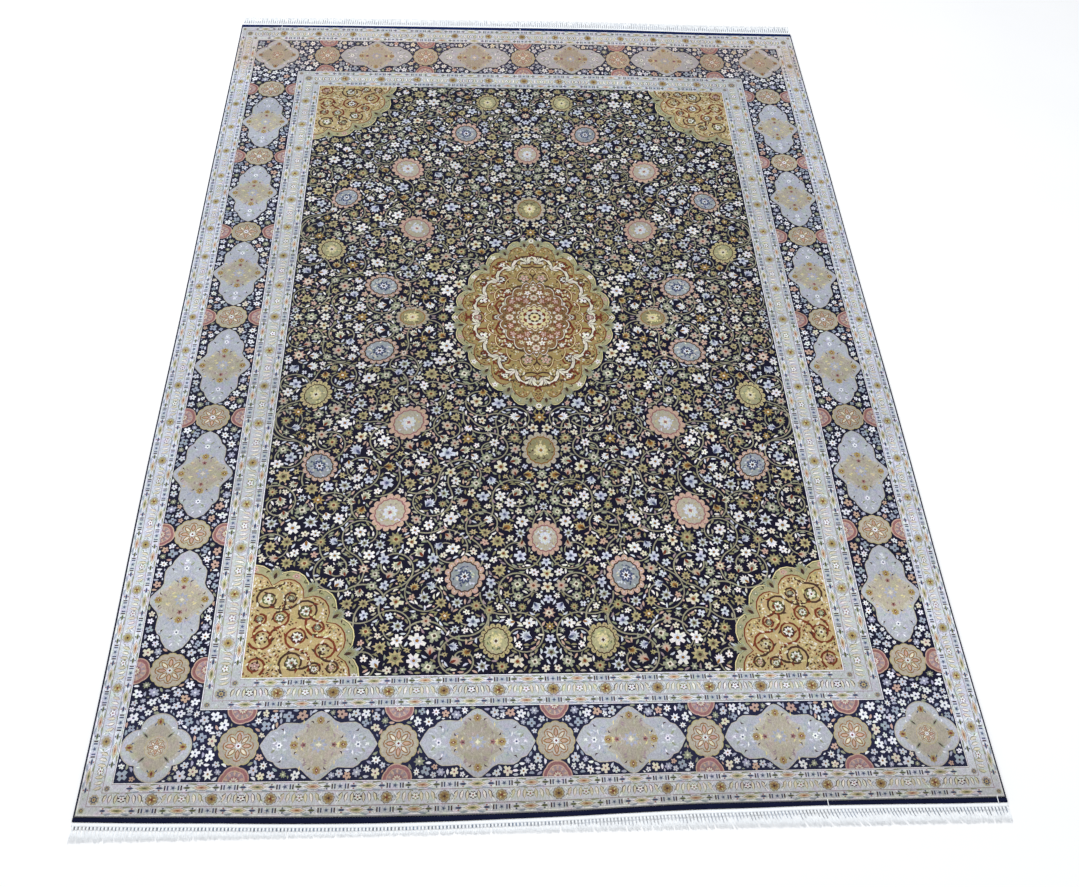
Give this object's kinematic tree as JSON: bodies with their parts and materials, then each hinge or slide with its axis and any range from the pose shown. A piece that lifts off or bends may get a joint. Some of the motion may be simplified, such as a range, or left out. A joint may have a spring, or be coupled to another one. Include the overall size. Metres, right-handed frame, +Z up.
{
  "type": "kashmir silk rug",
  "caption": "Rectangular knotted silk rug lying flat, with overcast sides, a dark woven band at each end and white fringe beyond it.",
  "frame": {"origin": "on the floor at the centre of the rug's outline, fringe included", "axes": "+Z up out of the pile, +Y along the length to the far end, +X across the width to the right"},
  "size_m": [1.5282, 2.2397, 0.005],
  "materials": {
    "silk_pile": "low cut silk pile in navy, silver grey, gold, cream, rust and rose, with a soft sheen",
    "navy_yarn": "matt woven and overcast yarn",
    "white_cotton": "matt twisted cotton warp ends"
  },
  "bodies": {
    "root": {"rug": "silk_pile", "side_cord_left": "navy_yarn", "side_cord_right": "navy_yarn", "end_band_near": "navy_yarn", "end_band_far": "navy_yarn", "fringe_near": "white_cotton", "fringe_far": "white_cotton"}
  },
  "joints": []
}
